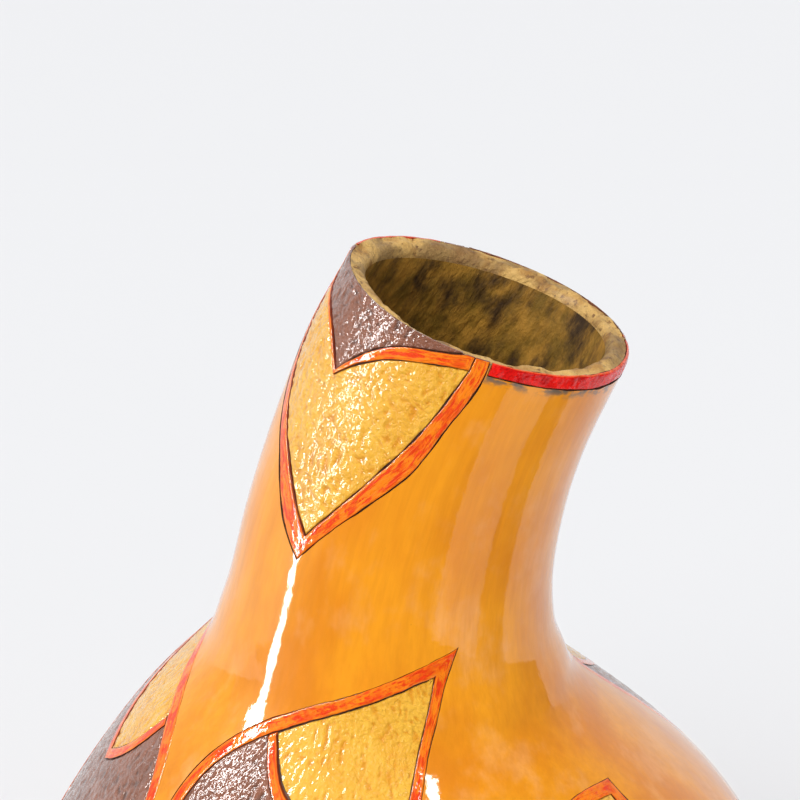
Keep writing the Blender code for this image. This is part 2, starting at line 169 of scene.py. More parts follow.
class CarvingShape(bpy.types.PropertyGroup):
    """Sizes of the carving and its coats."""
    band_width: FloatProperty(name="Band width", description="Width of the stained bands",
                              default=3.2 * MM, unit="LENGTH")
    divider_width: FloatProperty(name="Divider width", description="Width of the dividing bands",
                                 default=2.4 * MM, unit="LENGTH")
    rim_band_height: FloatProperty(name="Rim band height", description="Height of the rim's band",
                                   default=3.8 * MM, unit="LENGTH")
    burnt_line: FloatProperty(name="Burnt line", description="Width of the burnt lines",
                              default=0.34 * MM, unit="LENGTH")
    bed_depth: FloatProperty(name="Bed depth", description="Depth of the carved beds",
                             default=0.85 * MM, unit="LENGTH")
    field_depth: FloatProperty(name="Field depth", description="How far the fields lie below the rind",
                               default=0.38 * MM, unit="LENGTH")
    wobble: FloatProperty(name="Wobble", description="How far the hand strayed from the drawn line",
                          default=0.22 * MM, unit="LENGTH")


class Finish(bpy.types.PropertyGroup):
    """Colours of the finishes."""
    honey: FloatVectorProperty(name="Honey", description="Lit colour of the rind", size=3,
                               subtype="COLOR", default=(0.91, 0.345, 0.010), min=0, max=1)
    amber: FloatVectorProperty(name="Amber", description="Deep colour of the rind", size=3,
                               subtype="COLOR", default=(0.76, 0.235, 0.006), min=0, max=1)
    red: FloatVectorProperty(name="Red stain", description="Strokes of the bands", size=3,
                             subtype="COLOR", default=(0.84, 0.050, 0.002), min=0, max=1)
    orange: FloatVectorProperty(name="Orange stain", description="Thin stain of the bands", size=3,
                                subtype="COLOR", default=(0.97, 0.23, 0.004), min=0, max=1)
    gold: FloatVectorProperty(name="Gold", description="Colour of the gold fields", size=3,
                              subtype="COLOR", default=(0.92, 0.49, 0.045), min=0, max=1)
    brown: FloatVectorProperty(name="Brown", description="Colour of the brown fields", size=3,
                               subtype="COLOR", default=(0.31, 0.115, 0.062), min=0, max=1)


class Studio(bpy.types.PropertyGroup):
    """Floor, lights and camera."""
    floor: FloatVectorProperty(name="Floor", description="Colour of the floor", size=3,
                               subtype="COLOR", default=(0.74, 0.742, 0.75), min=0, max=1)
    distance: FloatProperty(name="Distance", description="Camera to the middle of the mouth",
                            default=420.5 * MM, unit="LENGTH")
    elevation: FloatProperty(name="Elevation", description="How far the camera looks down",
                             default=math.radians(19.33), subtype="ANGLE")


# ---------------------------------------------------------------------------- the gourd's form

def smooth_through(knots, values):
    """Return a function for the natural cubic curve through the values at rising knots."""
    knots = np.asarray(knots, float)
    values = np.asarray(values, float)
    count = len(knots)
    step = np.diff(knots)
    system = np.eye(count)
    right = np.zeros(count)
    for i in range(1, count - 1):
        system[i, i - 1] = step[i - 1]
        system[i, i] = 2 * (step[i - 1] + step[i])
        system[i, i + 1] = step[i]
        rise_after = (values[i + 1] - values[i]) / step[i]
        rise_before = (values[i] - values[i - 1]) / step[i - 1]
        right[i] = 6 * (rise_after - rise_before)
    bend = np.linalg.solve(system, right)

    def curve(place):
        place = np.asarray(place, float)
        i = np.clip(np.searchsorted(knots, place) - 1, 0, count - 2)
        low = place - knots[i]
        high = knots[i + 1] - place
        cubic = (bend[i] * high ** 3 + bend[i + 1] * low ** 3) / (6 * step[i])
        start = (values[i] / step[i] - bend[i] * step[i] / 6) * high
        end = (values[i + 1] / step[i] - bend[i + 1] * step[i] / 6) * low
        return cubic + start + end

    return curve


def belly_radius(level):
    """Radius of the round belly: one ellipse above its widest level, another below it."""
    reach = BELLY_RISE if level > BELLY_LEVEL else BELLY_DROP
    return BELLY_RADIUS * math.sqrt(1 - ((level - BELLY_LEVEL) / reach) ** 2)


def station_curves():
    """Smooth sideways shift, lean and radius of the gourd as functions of the level."""
    neck = NECK_STATIONS[::-1]
    flat = [0.0] * len(BELLY_STATIONS)
    levels = [level * MM for level in BELLY_STATIONS] + [row[0] * MM for row in neck]
    shift = smooth_through(levels, flat + [row[1] * MM for row in neck])
    lean = smooth_through(levels, flat + [math.radians(row[2]) for row in neck])
    belly = [belly_radius(level * MM) for level in BELLY_STATIONS]
    return shift, lean, smooth_through(levels, belly + [row[3] * MM for row in neck])


SHIFT, LEAN, RADIUS = station_curves()


def rim_rise(angle):
    """Height of the sawn mouth's edge over the mouth level at each angle."""
    rise = np.full_like(angle, RIM_MEAN - RIM_SINK)
    for order, (cosine, sine) in enumerate(RIM_WAVES, start=1):
        rise += cosine * np.cos(order * angle) + sine * np.sin(order * angle)
    return rise


def hollows(angle, level):
    """Slow hollows of the grown shell, 0 to 1 at each angle and level."""
    tall = level / (60 * MM)
    waves = (np.sin(3 * angle + 1.7 * tall + 0.6) + np.sin(2 * angle - 2.3 * tall + 2.1)
             + 0.6 * np.sin(5 * angle + 3.1 * tall) + 0.5 * np.sin(7 * angle - 1.3 * tall + 4.0))
    return 0.5 + waves / 6.2


def leaned(points):
    """Carry points of the upright gourd to the leaning one, with its askew mouth and hollows."""
    angle = np.arctan2(points[:, 1], points[:, 0])
    reach = np.hypot(points[:, 0], points[:, 1])
    fade = np.clip(1 - (MOUTH_LEVEL - points[:, 2]) / RIM_ZONE, 0, None)
    level = points[:, 2] + rim_rise(angle) * fade ** 2
    shape = bpy.context.scene.gourd_shape
    grown = np.clip(reach / RADIUS(points[:, 2]), 0, 1) * np.clip(level / (20 * MM), 0, 1)
    reach = reach * RADIUS(level) / RADIUS(points[:, 2])
    reach = reach - grown * shape.waviness * hollows(angle, level)
    sideways = reach * np.cos(angle)
    lean = LEAN(level)
    return np.column_stack((SHIFT(level) + sideways * np.cos(lean), reach * np.sin(angle),
                            level - sideways * np.sin(lean)))


# ----------------------------------------------------------------------- lines on the unrolled gourd

def line(points, unroll, turn=0.0):
    """Sample a smooth line through (degrees, mm below the mouth level) points."""
    points = np.array(points, float)
    across = np.radians(points[:, 0] + turn) * unroll
    level = MOUTH_LEVEL - points[:, 1] * MM
    ticks = np.append(0.0, np.cumsum(np.hypot(np.diff(across), np.diff(level))))
    even = np.linspace(0.0, ticks[-1], max(2, int(ticks[-1] / OUTLINE_STEP)) + 1)
    if len(points) == 2:
        return np.column_stack((np.interp(even, ticks, across), np.interp(even, ticks, level)))
    return np.column_stack((smooth_through(ticks, across)(even), smooth_through(ticks, level)(even)))


def joined(*lines):
    """Join lines end to end into one closed loop, dropping points that repeat."""
    loop = np.vstack(lines)
    keep = np.linalg.norm(loop - np.roll(loop, 1, axis=0), axis=1) > OUTLINE_STEP / 20
    return loop[keep]


def offset(points, distance, closed=False):
    """Shift a run of points to its left by a distance, mitred at the corners."""
    before = np.roll(points, 1, axis=0)
    after = np.roll(points, -1, axis=0)
    if not closed:
        before[0] = 2 * points[0] - points[1]
        after[-1] = 2 * points[-1] - points[-2]
    way_in = points - before
    way_out = after - points
    way_in /= np.linalg.norm(way_in, axis=1)[:, None]
    way_out /= np.linalg.norm(way_out, axis=1)[:, None]
    normal = np.column_stack((-way_in[:, 1], way_in[:, 0]))
    middle = normal + np.column_stack((-way_out[:, 1], way_out[:, 0]))
    middle /= np.maximum(np.linalg.norm(middle, axis=1), 1e-6)[:, None]
    slant = np.maximum((middle * normal).sum(axis=1), SHARPEST)
    distance = np.broadcast_to(distance, len(points))
    return points + middle * (distance / slant)[:, None]


def distance_to(points, loop):
    """Distance from each point to the nearest side of a closed loop of short sides."""
    tree = kdtree.KDTree(len(loop))
    for i, (x, y) in enumerate(loop):
        tree.insert((x, y, 0.0), i)
    tree.balance()
    close = np.array([tree.find((x, y, 0.0))[1] for x, y in points])
    gap = np.full(len(points), np.inf)
    for start in (close - 1, close):
        side = loop[(start + 1) % len(loop)] - loop[start]
        off = points - loop[start]
        share = (off * side).sum(axis=1) / np.maximum((side ** 2).sum(axis=1), 1e-18)
        nearest_off = off - np.clip(share, 0, 1)[:, None] * side
        gap = np.minimum(gap, np.linalg.norm(nearest_off, axis=1))
    return gap


def inset(loop, distance):
    """Shrink a closed loop by a distance, or grow it where negative, without crossings."""
    after = np.roll(loop, -1, axis=0)
    turned = (loop[:, 0] * after[:, 1] - after[:, 0] * loop[:, 1]).sum()
    moved = offset(loop, math.copysign(1.0, turned) * distance, True)
    apart = np.linalg.norm(moved[:, None] - loop[None], axis=2)
    clear = (apart > 0.97 * np.abs(distance)).all(axis=1)
    return moved[clear & (distance_to(moved, loop) > 0.97 * np.abs(distance))]


def nearest(loop, point):
    """Index of the loop's point nearest to a point."""
    return int(np.linalg.norm(loop - point, axis=1).argmin())


def stretch(loop, start, end):
    """Points of a closed loop from one index forward to another."""
    last = end if end >= start else end + len(loop)
    return loop[np.arange(start, last + 1) % len(loop)]


def strayed(loop):
    """Move a loop as the carver's hand strayed, by a field that neighbours share."""
    amount = bpy.context.scene.carving_shape.wobble
    moved = loop.copy()
    for i, (x, y) in enumerate(loop):
        slow = noise.noise_vector(Vector((x, y, 0.0)) / (7 * MM))
        quick = noise.noise_vector(Vector((x, y, 0.3)) / (1.8 * MM))
        fade = min(1.0, max(0.0, (MOUTH_LEVEL - y) / (1.5 * MM)))
        moved[i, 0] += amount * (slow.x + 0.35 * quick.x)
        moved[i, 1] += amount * (slow.y + 0.35 * quick.y) * fade
    return moved


# ------------------------------------------------------------------------------- making solids

def bm_object(name, bm, materials):
    """Put a finished bmesh in the scene as a smooth-shaded piece with its materials."""
    mesh = bpy.data.meshes.new(name)
    bm.to_mesh(mesh)
    bm.free()
    made = bpy.data.objects.new(name, mesh)
    bpy.context.scene.collection.objects.link(made)
    for surface in materials:
        mesh.materials.append(surface)
    mesh.shade_smooth()
    return made


def coordinates(mesh):
    """All of a mesh's points as one array."""
    flat = np.empty(len(mesh.vertices) * 3)
    mesh.vertices.foreach_get("co", flat)
    return flat.reshape(-1, 3)


def store(mesh, name, kind, values):
    """Keep one value or vector for each point under a name that the materials read."""
    made = mesh.attributes.new(name, kind, "POINT")
    field = "value" if kind == "FLOAT" else "vector"
    made.data.foreach_set(field, np.ascontiguousarray(values, dtype=np.float32).ravel())


def cut_in_cells(bm, cell):
    """Cut an unrolled sheet into square cells, so that it can fold round the gourd."""
    for axis in (0, 1):
        places = [vert.co[axis] for vert in bm.verts]
        first = math.floor(min(places) / cell) + 1
        last = math.ceil(max(places) / cell)
        cut_between(bm, bm.verts[:] + bm.edges[:] + bm.faces[:],
                    [i * cell for i in range(first, last)], axis, cell / 40)


def cut_between(bm, items, spots, axis, close):
    """Cut part of a sheet at its middle spot, then each half at the spots left to it."""
    if not spots:
        return
    middle = len(spots) // 2
    spot = spots[middle]
    facing = Vector((1 - axis, axis, 0))
    items = bmesh.ops.bisect_plane(bm, geom=items, dist=close, plane_co=facing * spot,
                                   plane_no=facing)["geom"]
    low, high = [], []
    for item in items:
        if isinstance(item, bmesh.types.BMVert):
            place = item.co[axis]
        elif isinstance(item, bmesh.types.BMEdge):
            place = (item.verts[0].co[axis] + item.verts[1].co[axis]) / 2
        else:
            place = item.calc_center_median()[axis]
        if place < spot + close:
            low.append(item)
        if place > spot - close:
            high.append(item)
    cut_between(bm, low, spots[:middle], axis, close)
    cut_between(bm, high, spots[middle + 1:], axis, close)


def drawn(bm, loop):
    """Draw a closed loop in the flat bmesh and return its edges."""
    verts = [bm.verts.new((x, y, 0.0)) for x, y in loop]
    return [bm.edges.new(pair) for pair in zip(verts, verts[1:] + verts[:1])]


def sheet(loops, cell, lip=0.0):
    """Flat unrolled sheet within a loop and round its holes, lipped along each edge, in cells."""
    bm = bmesh.new()
    body = []
    for i, loop in enumerate(loops):
        edges = drawn(bm, loop)
        if lip:
            inner = drawn(bm, inset(loop, -lip if i else lip))
            bmesh.ops.triangle_fill(bm, edges=edges + inner, use_beauty=True)
            edges = inner
        body += edges
    bmesh.ops.triangle_fill(bm, edges=body, use_beauty=True)
    bmesh.ops.recalc_face_normals(bm, faces=bm.faces)
    cut_in_cells(bm, cell)
    return bm


def thickened(bm):
    """Give a flat sheet a second side one unit above it and join the two round the edge."""
    raised = bmesh.ops.extrude_face_region(bm, geom=bm.faces[:])
    for item in raised["geom"]:
        if isinstance(item, bmesh.types.BMVert):
            item.co.z = 1.0
    bmesh.ops.recalc_face_normals(bm, faces=bm.faces)


def rolled(points, unroll, depth):
    """Roll unrolled points round the upright gourd at a depth below its outside."""
    angle = points[:, 0] / unroll
    reach = RADIUS(points[:, 1]) - depth
    return np.column_stack((reach * np.cos(angle), reach * np.sin(angle), points[:, 1]))


def bed_cutter(loop, unroll):
    """Upright cutter from a bed's floor out past the rind, half a burnt line wider than its loop."""
    carving = bpy.context.scene.carving_shape
    bm = sheet([inset(loop, -burnt_gap(loop))], BED_CELL)
    thickened(bm)
    points = np.array([vert.co for vert in bm.verts])
    depth = np.where(points[:, 2] > 0.5, -SAW_OVERRUN, carving.bed_depth)
    for vert, place in zip(bm.verts, rolled(points, unroll, depth)):
        vert.co = place
    if bm.calc_volume(signed=True) < 0:
        bmesh.ops.reverse_faces(bm, faces=bm.faces)
    return bm


# --------------------------------------------------------------------------------- the carving

def within(points, loop):
    """Whether each point lies inside a closed loop."""
    x, y = points[:, 0, None], points[:, 1, None]
    start, end = loop, np.roll(loop, -1, axis=0)
    spans = (start[:, 1] > y) != (end[:, 1] > y)
    rise = np.where(end[:, 1] == start[:, 1], 1.0, end[:, 1] - start[:, 1])
    crossing = start[:, 0] + (y - start[:, 1]) / rise * (end[:, 0] - start[:, 0])
    return (spans & (x < crossing)).sum(axis=1) % 2 == 1


def pendant_loops(letter):
    """Bed outline and coats of a neck pendant, drawn on the unrolled gourd."""
    def arm(*lines):
        turn = PENDANT_TURNS[letter]
        return np.vstack([line(points, NECK_UNROLL_RADIUS, turn) for points in lines])

    outer = arm(OUTER_RIGHT, OUTER_LEFT)
    inside = arm(INSIDE_RIGHT, INSIDE_LEFT)
    inner_low = arm(INNER_LOW_RIGHT, INNER_LOW_LEFT)
    inner_top = arm(INNER_TOP_RIGHT, INNER_TOP_LEFT)
    end_right = arm(INNER_END_RIGHT)
    end_left = arm(INNER_END_LEFT)
    brown_end = arm(BROWN_END_LEFT)
    over = MOUTH_LEVEL + SAW_OVERRUN
    bed = joined([(outer[0, 0], over)], outer, [(outer[-1, 0], over)])
    name = "pendant_" + letter
    return bed, [
        (name + "_outer_band", "band",
         [joined(outer, brown_end[::-1], end_left[::-1], inside[::-1], end_right[::-1])]),
        (name + "_gold_field", "gold", [joined(inside, inner_low[::-1])]),
        (name + "_inner_band", "band", [joined(end_right, inner_low, end_left, inner_top[::-1])]),
        (name + "_brown_field", "brown", [joined(inner_top, brown_end)]),
    ]


def rim_band_loops(letter):
    """Bed outline and coat of the band along part of the rim."""
    start, end = RIM_BANDS[letter]
    height = bpy.context.scene.carving_shape.rim_band_height / MM

    def box(top):
        corners = ((start, height), (end, height), (end, top), (start, top), (start, height))
        return joined(*[line(side, NECK_UNROLL_RADIUS) for side in zip(corners, corners[1:])])

    return box(-SAW_OVERRUN / MM), [("rim_band_" + letter, "rim", [box(0.0)])]


def petal_loops(letter, word):
    """Bed outline and coats of one tulip petal."""
    carving = bpy.context.scene.carving_shape
    middle, spread = TULIPS[letter]
    side, drop = PETALS[word]

    def edge(points):
        placed = [(middle + side * spread * across, down + drop) for across, down in points]
        return line(placed, BELLY_UNROLL_RADIUS)

    outline = joined(edge(PETAL_TOP), edge(PETAL_MIDDLE), edge(PETAL_SIDE))[::side]
    reach = np.linalg.norm(outline - edge(PETAL_TOP)[0], axis=1)
    inner = inset(outline, carving.band_width * (1 + 0.5 * np.exp(-(reach / (14 * MM)) ** 2)))
    runs = [edge(points) for points in DIVIDERS[word]]
    path = np.vstack([runs[0]] + [run[1:] for run in runs[1:]])[::side]
    above = offset(path, carving.divider_width / 2)
    above = above[within(above, inner)]
    below = offset(path, -carving.divider_width / 2)
    below = below[within(below, inner)]
    above_start, above_end = nearest(inner, above[0]), nearest(inner, above[-1])
    below_start, below_end = nearest(inner, below[0]), nearest(inner, below[-1])
    name = "tulip_%s_%s" % (letter, word)
    return outline, [
        (name + "_outline_band", "band", [outline, inner]),
        (name + "_divider_band", "band",
         [joined(stretch(inner, above_start, below_start), below,
                 stretch(inner, below_end, above_end), above[::-1])]),
        (name + "_gold_field", "gold", [joined(stretch(inner, above_end, above_start), above)]),
        (name + "_brown_field", "brown",
         [joined(stretch(inner, below_start, below_end), below[::-1])]),
    ]


def leaf_loops(letter):
    """Bed outline and coats of a small leaf."""
    turn = LEAF_TURNS[letter]
    outline = joined(line(LEAF_TOP, BELLY_UNROLL_RADIUS, turn),
                     line(LEAF_SIDE, BELLY_UNROLL_RADIUS, turn))
    inner = inset(outline, bpy.context.scene.carving_shape.band_width)
    name = "leaf_" + letter
    return outline, [(name + "_outline_band", "band", [outline, inner]),
                     (name + "_gold_field", "gold", [inner])]


def tooled(points, turn, short, long):
    """Relief of a gouge's strokes, lens-shaped and lying along one direction, about -1 to 1."""
    across = (points[:, 0] * math.cos(turn) + points[:, 1] * math.sin(turn)) / short
    along = (points[:, 1] * math.cos(turn) - points[:, 0] * math.sin(turn)) / long
    relief = np.empty(len(points))
    for i, (u, v) in enumerate(zip(across, along)):
        bend = 1.1 * noise.noise(Vector((0.5 * u, 0.5 * v, 5.0)))
        ridge = 1 - 3.6 * abs(noise.noise(Vector((u + bend, v - bend, 1.0))))
        relief[i] = 0.8 * ridge + 0.9 * noise.noise(Vector((1.7 * u, 1.7 * v, 9.0)))
    return relief


def burnt_gap(loop):
    """Half the burnt line's width at each point of a loop, swelling and thinning as it was burnt."""
    width = bpy.context.scene.carving_shape.burnt_line / 2
    swell = np.array([noise.noise(Vector((x, y, 0.7)) / (4.5 * MM)) for x, y in loop])
    faint = np.interp(loop[:, 1], (0.23, 0.25), (0.5, 1.0))
    return width * faint * np.clip(0.85 + 1.3 * swell, 0.4, 1.5)


def coat(name, loops, unroll, finish):
    """A coloured coat in its bed: rounded lips, tooled top, and a burnt line left round it."""
    carving = bpy.context.scene.carving_shape
    edges = []
    for i, loop in enumerate(loops):
        guide = strayed(loop)
        edges.append(inset(guide, -burnt_gap(guide) if i else burnt_gap(guide)))
    bm = sheet(edges, COAT_CELL, LIP)
    thickened(bm)
    flat = np.array([vert.co for vert in bm.verts])
    places = flat[:, :2]
    edge = np.full(len(flat), 1.0)
    for loop in edges:
        edge = np.minimum(edge, distance_to(places, loop))
    inside = np.clip(edge / LIP, 0, 1)
    relief = tooled(places, *finish["strokes"])
    depth = finish["sink"] + LIP_DROP * (1 - inside) ** 2
    depth -= finish["height"] * relief * (0.2 + 0.8 * inside)
    depth = np.where(flat[:, 2] > 0.5, depth, carving.bed_depth - 0.05 * MM)
    upright = rolled(places, unroll, depth)
    made = bm_object(name + "_coat", bm, [finish["top"]])
    mesh = made.data
    mesh.vertices.foreach_set("co", leaned(upright).ravel())
    facing_out(mesh)
    mesh.set_sharp_from_angle(angle=math.radians(70))
    store(mesh, "upright", "FLOAT_VECTOR", upright)
    store(mesh, "edge", "FLOAT", edge)
    store(mesh, "stroke", "FLOAT_VECTOR", np.column_stack((STROKE_PULL * edge, places)))
    store(mesh, "relief", "FLOAT", relief)
    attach(made, "root")
    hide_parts(name)


def facing_out(mesh):
    """Turn a closed mesh's faces outward."""
    bm = bmesh.new()
    bm.from_mesh(mesh)
    if bm.calc_volume(signed=True) < 0:
        bmesh.ops.reverse_faces(bm, faces=bm.faces)
    bm.to_mesh(mesh)
    bm.free()


# ----------------------------------------------------------------------------------- the shell

def shell_profile():
    """Upright profile (radius, level) from the foot's middle out, up, over the rim and inside."""
    wall = bpy.context.scene.gourd_shape.wall
    coarse = 1
    belly = np.linspace(0.0, 168.0, 76 // coarse) * MM
    neck = np.linspace(168.0, 297.4, 84 // coarse)[1:] * MM
    foot = RADIUS(0.0)
    rings = [(share * foot, 0.0) for share in (0.0, 0.3, 0.6, 0.85, 0.96)]
    rings += [(float(RADIUS(level)), level) for level in np.append(belly, neck)]
    edge = float(RADIUS(MOUTH_LEVEL))
    rings += [(edge - across * MM, MOUTH_LEVEL - down * MM) for across, down in SAWN_EDGE]
    for level in np.linspace(295.0, 6.0, 96 // coarse) * MM:
        slope = float(RADIUS(level + MM) - RADIUS(level - MM)) / (2 * MM)
        length = math.hypot(1.0, slope)
        inside = (float(RADIUS(level)) - wall / length, level + wall * slope / length)
        if FLOOR_THICKNESS < inside[1] < MOUTH_LEVEL - 2 * MM:
            rings.append(inside)
    rings += [(rings[-1][0] * share, FLOOR_THICKNESS) for share in (0.9, 0.6, 0.3, 0.0)]
    return rings


def upright_shell():
    """The hollow gourd before it is carved and leans."""
    bm = bmesh.new()
    verts = [bm.verts.new((x, 0.0, z)) for x, z in shell_profile()]
    edges = [bm.edges.new(pair) for pair in zip(verts, verts[1:])]
    bmesh.ops.spin(bm, geom=verts + edges, cent=(0, 0, 0), axis=(0, 0, 1), dvec=(0, 0, 0),
                   angle=2 * math.pi, steps=SKIN_SIDES // 1, use_merge=True)
    bmesh.ops.remove_doubles(bm, verts=bm.verts, dist=1e-6)
    bmesh.ops.recalc_face_normals(bm, faces=bm.faces)
    if bm.calc_volume(signed=True) < 0:
        bmesh.ops.reverse_faces(bm, faces=bm.faces)
    return bm


def bed_cutters(groups, materials):
    """The cutters of some groups' beds in one object, which leaves burnt wood where it cuts."""
    cutters = bpy.data.meshes.new("beds")
    bm = bmesh.new()
    for loops, unroll in [motif for group in groups for motif in carvings(group)]:
        cutter = bed_cutter(strayed(loops[0]), unroll)
        piece = bpy.data.meshes.new("bed")
        cutter.to_mesh(piece)
        cutter.free()
        bm.from_mesh(piece)
        bpy.data.meshes.remove(piece)
    bm.to_mesh(cutters)
    bm.free()
    for surface in materials:
        cutters.materials.append(surface)
    cutters.polygons.foreach_set("material_index", np.full(len(cutters.polygons), CHAR, np.int32))
    made = bpy.data.objects.new("beds", cutters)
    bpy.context.scene.collection.objects.link(made)
    return made


def carvings(group):
    """Each motif of a group as its (bed, coats) loops with its unroll radius."""
    if group == "pendants":
        return [(pendant_loops(letter), NECK_UNROLL_RADIUS) for letter in PENDANT_TURNS]
    if group == "rim_bands":
        return [(rim_band_loops(letter), NECK_UNROLL_RADIUS) for letter in RIM_BANDS]
    if group == "tulips":
        return [(petal_loops(letter, word), BELLY_UNROLL_RADIUS)
                for letter in TULIPS for word in PETALS]
    return [(leaf_loops(letter), BELLY_UNROLL_RADIUS) for letter in LEAF_TURNS]


def gourd_shell(materials):
    """The whole rind: spun, carved, leaned, with a lumpy sawn rim."""
    shape = bpy.context.scene.gourd_shape
    made = bm_object("gourd", upright_shell(), materials)
    # The rim bands' beds run into the pendants' beds, so they are cut on their own.
    cutters = [bed_cutters(groups, materials)
               for groups in (("pendants", "tulips", "leaves"), ("rim_bands",))]
    for cutter in cutters:
        cut = made.modifiers.new("beds", "BOOLEAN")
        cut.operation = "DIFFERENCE"
        cut.solver = "EXACT"
        cut.object = cutter
    bpy.context.view_layer.update()
    depsgraph = bpy.context.evaluated_depsgraph_get()
    carved = bpy.data.meshes.new_from_object(made.evaluated_get(depsgraph))
    made.modifiers.clear()
    made.data = carved
    for cutter in cutters:
        bpy.data.objects.remove(cutter)
    upright = coordinates(carved)
    reach = np.hypot(upright[:, 0], upright[:, 1])
    rim = (upright[:, 2] > MOUTH_LEVEL - 2 * MM) & (reach < RADIUS(MOUTH_LEVEL) - 0.3 * MM)
    outside = (RADIUS(upright[:, 2]) - reach < 0.5 * shape.wall) | (upright[:, 2] < 0.5 * MM)
    kind = np.where(rim & (reach < RADIUS(upright[:, 2]) - 0.3 * MM), RIM,
                    np.where(outside, RIND, INSIDE))
    faces = np.empty(len(carved.polygons), np.int32)
    carved.polygons.foreach_get("material_index", faces)
    for polygon in carved.polygons:
        if faces[polygon.index] != CHAR:
            kinds = kind[list(polygon.vertices)]
            faces[polygon.index] = RIM if (kinds == RIM).any() else kinds.min()
    carved.polygons.foreach_set("material_index", faces)
    points = leaned(upright)
    face = np.clip((RADIUS(MOUTH_LEVEL) - reach[rim]) / (0.9 * MM) - 0.4, 0, 1)
    spots = [Vector(point) for point in upright[rim]]
    lumps = np.array([noise.noise(spot / (5 * MM)) + 0.5 * noise.noise(spot / (1.9 * MM))
                      for spot in spots])
    sink = shape.rim_roughness * face * np.clip(0.45 - 0.9 * lumps, 0, 1.3)
    lean = LEAN(np.full(len(lumps), MOUTH_LEVEL))
    points[rim] -= np.column_stack((sink * np.sin(lean), np.zeros(len(lean)), sink * np.cos(lean)))
    carved.vertices.foreach_set("co", points.ravel())
    facing_out(carved)
    carved.shade_smooth()
    carved.set_sharp_from_angle(angle=math.radians(50))
    store(carved, "upright", "FLOAT_VECTOR", upright)
    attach(made, "root")
    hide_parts("gourd_shell")


# ----------------------------------------------------------------------------------- materials

def add(tree, kind, inputs, **settings):
    """Add a node with its settings; inputs hold plain values or other nodes' outputs."""
    made = tree.nodes.new(kind)
    for name, value in settings.items():
        setattr(made, name, value)
    for name, value in inputs.items():
        if isinstance(value, bpy.types.NodeSocket):
            tree.links.new(value, made.inputs[name])
        else:
            made.inputs[name].default_value = value
    return made


def new_group(name, inputs, output):
    """Start a shader node group; returns its tree, its inputs and a way to set its output."""
    tree = bpy.data.node_groups.new(name, "ShaderNodeTree")
    for label, kind in inputs:
        tree.interface.new_socket(label, in_out="INPUT", socket_type="NodeSocket" + kind)
    tree.interface.new_socket(output[0], in_out="OUTPUT", socket_type="NodeSocket" + output[1])
    return tree, tree.nodes.new("NodeGroupInput").outputs, tree.nodes.new("NodeGroupOutput").inputs


def grain_noise(tree, given):
    """Noise inside a group, drawn out along the third axis by the group's Stretch."""
    share = add(tree, "ShaderNodeMath", {0: 1.0, 1: given["Stretch"]}, operation="DIVIDE")
    squash = add(tree, "ShaderNodeCombineXYZ", {"X": 1.0, "Y": 1.0, "Z": share.outputs[0]})
    drawn_out = add(tree, "ShaderNodeVectorMath", {0: given["Vector"], 1: squash.outputs[0]},
                    operation="MULTIPLY")
    return add(tree, "ShaderNodeTexNoise", {"Vector": drawn_out.outputs[0], "Scale": given["Scale"],
                                            "Detail": 4.0, "Roughness": 0.6})


def shader_groups():
    """The effects that several materials share, each as a node group."""
    grain = [("Vector", "Vector"), ("Scale", "Float"), ("Stretch", "Float")]
    tree, given, made = new_group("Mottle", grain + [("Low", "Float"), ("High", "Float")],
                                  ("Mask", "Float"))
    blots = grain_noise(tree, given)
    mask = add(tree, "ShaderNodeMapRange",
               {"Value": blots.outputs[0], "From Min": given["Low"], "From Max": given["High"]},
               interpolation_type="SMOOTHSTEP")
    tree.links.new(mask.outputs[0], made["Mask"])

    tree, given, made = new_group("Hand Relief", grain + [("Height", "Float")],
                                  ("Normal", "Vector"))
    bumps = grain_noise(tree, given)
    bump = add(tree, "ShaderNodeBump", {"Height": bumps.outputs[0], "Distance": given["Height"]})
    tree.links.new(bump.outputs[0], made["Normal"])

    tree, given, made = new_group("Burnt Edge", [("Colour", "Color"), ("Edge", "Float"),
                                                 ("Width", "Float"), ("Burn", "Color")],
                                  ("Colour", "Color"))
    near = add(tree, "ShaderNodeMapRange", {"Value": given["Edge"], "From Max": given["Width"],
                                            "To Min": 1.0, "To Max": 0.0},
               interpolation_type="SMOOTHSTEP")
    mix = add(tree, "ShaderNodeMix", {0: near.outputs[0], 6: given["Colour"], 7: given["Burn"]},
              data_type="RGBA")
    tree.links.new(mix.outputs[2], made["Colour"])


def placed(tree, name, inputs):
    """Put one of the shared groups in a material and return its output."""
    made = tree.nodes.new("ShaderNodeGroup")
    made.node_tree = bpy.data.node_groups[name]
    for label, value in inputs.items():
        if isinstance(value, bpy.types.NodeSocket):
            tree.links.new(value, made.inputs[label])
        else:
            made.inputs[label].default_value = value
    return made.outputs[0]


def attribute(tree, name):
    """Read one of the values kept on a mesh."""
    read = add(tree, "ShaderNodeAttribute", {}, attribute_name=name)
    return read.outputs["Vector" if name in ("upright", "stroke") else "Fac"]


def mixed(tree, mask, low, high):
    """Colour between two colours by a mask."""
    return add(tree, "ShaderNodeMix", {0: mask, 6: low, 7: high}, data_type="RGBA").outputs[2]


def ranged(tree, value, low, high):
    """Mask that rises from 0 to 1 as a value goes from low to high."""
    return add(tree, "ShaderNodeMapRange", {"Value": value, "From Min": low, "From Max": high},
               interpolation_type="SMOOTHSTEP").outputs[0]


